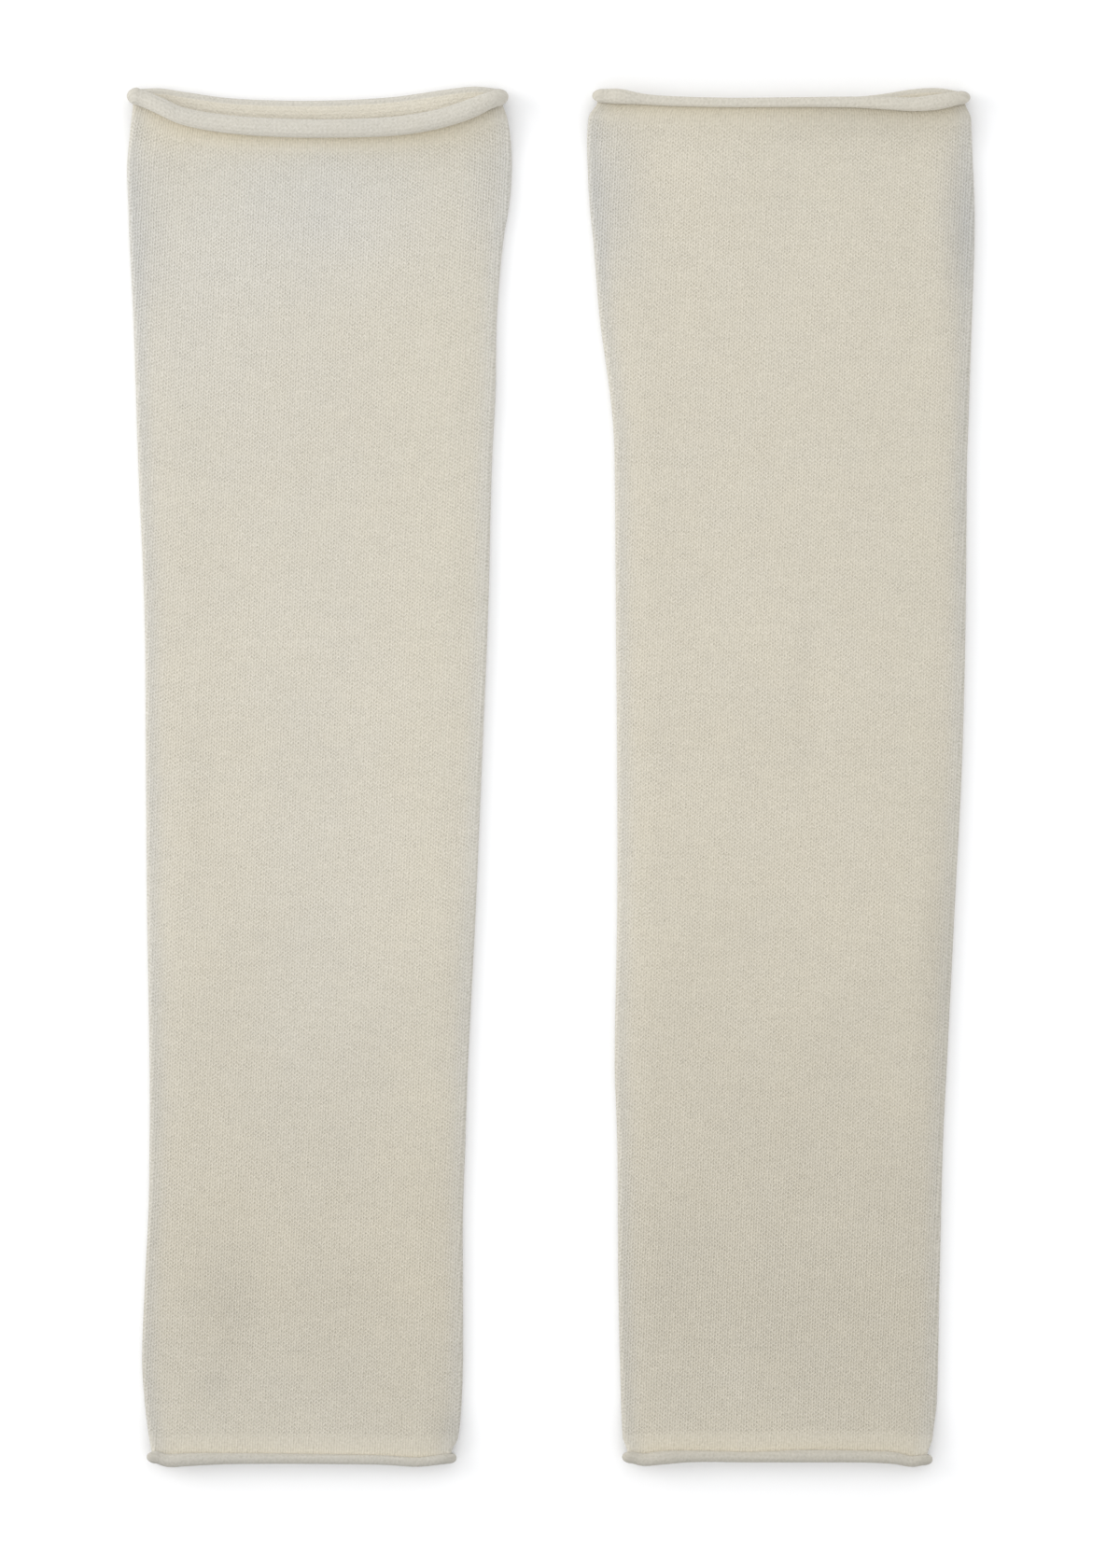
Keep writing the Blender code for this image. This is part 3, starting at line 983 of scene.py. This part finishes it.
def moved_stitches(tree, wales, courses):
    """The wales and courses as the face shows them, a little out of their counted places."""
    wander = cloth_noise(tree, wales, courses, WANDER)
    jitter = cloth_noise(tree, wales, courses, JITTER)
    sideways = weighted_sum(tree, (wander, WANDER_WALES), (jitter, JITTER_WALES))
    slip = cloth_noise(tree, wales, courses, SLIP)
    courses_here = math_node(tree, "MULTIPLY_ADD", slip, SLIP_COURSES, courses)
    return math_node(tree, "ADD", wales, sideways), courses_here


def leg_furrows(tree, wales, opened):
    """From about -1 on a leg to about 1 in the furrow between two legs."""
    twice = math_node(tree, "MULTIPLY", wales, 2.0)
    furrows = weighted_sum(tree, (wave(tree, twice), 1.0), (wave(tree, wales), -FURROW_SHARE))
    return math_node(tree, "MULTIPLY", furrows, math_node(tree, "MAXIMUM", opened, LEAST_LEGS))


def stitch_crests(tree, wales, courses, opened):
    """A crest to each course, which climbs to both sides from the wale's middle, as a V."""
    off_middle = math_node(tree, "PINGPONG", wales, 0.5)
    climb = math_node(tree, "MULTIPLY", off_middle, 2.0 * LEG_CLIMB)
    crests = wave(tree, math_node(tree, "SUBTRACT", courses, climb))
    return math_node(tree, "MULTIPLY", crests, math_node(tree, "MINIMUM", opened, 1.0))


def knit_face():
    """The plain side: columns of V-shaped stitches, each with two legs."""
    material, tree, surface = new_cloth("cream_knit_face")
    wales, courses = counted_stitches(tree)
    deep, cool, opened = carried_state(tree)
    wales_here, courses_here = moved_stitches(tree, wales, courses)
    furrows = leg_furrows(tree, wales_here, opened)
    crests = stitch_crests(tree, wales_here, courses_here, opened)
    uneven = cloth_noise(tree, wales, courses, UNEVEN)
    clearness = math_node(tree, "MULTIPLY_ADD", uneven, UNEVEN_SHARE, 1.0)
    crests = math_node(tree, "MULTIPLY", crests, clearness)
    fibres = cloth_noise(tree, wales, courses, FIBRES)
    height = weighted_sum(
        tree,
        (furrows, -0.5 * LEG_RELIEF),
        (crests, 0.5 * STITCH_RELIEF),
        (fibres, FIBRE_RELIEF),
    )
    raise_surface(tree, surface, height, FACE_DEPTH)
    shade = weighted_sum(
        tree, (furrows, -LEG_SHADE), (crests, STITCH_SHADE), (fibres, FIBRE_SHADE)
    )
    # The carried deepening holds painted shade and light by the folds and hems, towards the ankle and
    # in patches
    tone = weighted_sum(
        tree,
        (cloth_noise(tree, wales, courses, STREAKS), STREAK_TONE),
        (cloth_noise(tree, wales, courses, MOTTLES), MOTTLE_TONE),
        (cloth_noise(tree, wales, courses, CLOUDS), CLOUD_TONE),
        (deep, -1.0),
    )
    colour_surface(tree, surface, math_node(tree, "ADD", shade, FACE_LIGHT), tone, cool)
    return material


def purl_side():
    """The wrong side: low wavy rows under a short fuzzy nap."""
    material, tree, surface = new_cloth("cream_knit_purl_side")
    wales, courses = counted_stitches(tree)
    deep, cool, opened = carried_state(tree)
    slip = cloth_noise(tree, wales, courses, PURL_SLIP)
    bends = weighted_sum(tree, (slip, PURL_SLIP_COURSES), (wave(tree, wales), ARCH_COURSES))
    rows = wave(tree, math_node(tree, "ADD", courses, bends))
    rows = math_node(tree, "MULTIPLY", rows, opened)
    columns = math_node(tree, "MULTIPLY", wave(tree, wales), opened)
    fibres = cloth_noise(tree, wales, courses, FUZZ)
    lumps = cloth_noise(tree, wales, courses, LUMPS)
    height = weighted_sum(
        tree,
        (rows, 0.5 * ROW_RELIEF),
        (columns, 0.5 * COLUMN_RELIEF),
        (fibres, FUZZ_RELIEF),
        (lumps, LUMP_RELIEF),
    )
    raise_surface(tree, surface, height, PURL_DEPTH)
    shade = weighted_sum(tree, (rows, ROW_SHADE), (columns, COLUMN_SHADE), (fibres, FUZZ_SHADE))
    clouds = cloth_noise(tree, wales, courses, PURL_CLOUDS)
    # The carried deepening holds painted shade on the knobs and rolls and painted bounce light inside
    # the tube
    tone = weighted_sum(tree, (clouds, CLOUD_TONE), (deep, -1.0))
    colour_surface(tree, surface, math_node(tree, "ADD", shade, PURL_LIGHT), tone, cool)
    return material


def add_floor():
    material = bpy.data.materials.new("pale_floor")
    material.use_nodes = True
    surface = material.node_tree.nodes["Principled BSDF"]
    surface.inputs["Base Color"].default_value = FLOOR_WHITE
    surface.inputs["Roughness"].default_value = 1.0
    surface.inputs["Specular IOR Level"].default_value = 0.0
    half = 0.5 * FLOOR_SIZE
    corners = [(-half, -half, 0.0), (half, -half, 0.0), (half, half, 0.0), (-half, half, 0.0)]
    mesh = bpy.data.meshes.new("floor")
    mesh.from_pydata(corners, [], [(0, 1, 2, 3)])
    mesh.materials.append(material)
    floor = bpy.data.objects.new("floor", mesh)
    floor.location.z = -FLOOR_CLEARANCE
    bpy.context.scene.collection.objects.link(floor)


def add_lights():
    world = bpy.data.worlds.new("white_studio")
    world.use_nodes = True
    background = world.node_tree.nodes["Background"]
    background.inputs["Color"].default_value = FILL_COLOUR
    background.inputs["Strength"].default_value = FILL_STRENGTH
    bpy.context.scene.world = world
    lamp = bpy.data.lights.new("key", "AREA")
    lamp.shape = "SQUARE"
    lamp.size = KEY_SIZE
    lamp.energy = KEY_POWER
    lamp.color = KEY_COLOUR
    key = bpy.data.objects.new("key", lamp)
    key.location = KEY_PLACE
    key.rotation_euler = (-Vector(KEY_PLACE)).to_track_quat("-Z", "Y").to_euler()
    bpy.context.scene.collection.objects.link(key)


def add_camera():
    camera = bpy.data.cameras.new("overhead")
    camera.sensor_width = SENSOR
    camera.lens = SENSOR * CAMERA_HEIGHT / VIEW_LENGTH
    eye = bpy.data.objects.new("overhead", camera)
    eye.location = (VIEW_CENTRE[0], VIEW_CENTRE[1], CAMERA_HEIGHT)
    bpy.context.scene.collection.objects.link(eye)
    bpy.context.scene.camera = eye
    bpy.context.scene.view_settings.view_transform = "Standard"


def main():
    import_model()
    add_camera()
    add_lights()
    add_floor()
    materials = (knit_face(), purl_side())
    for warmer in WARMERS:
        add_warmer(warmer, materials)


main()
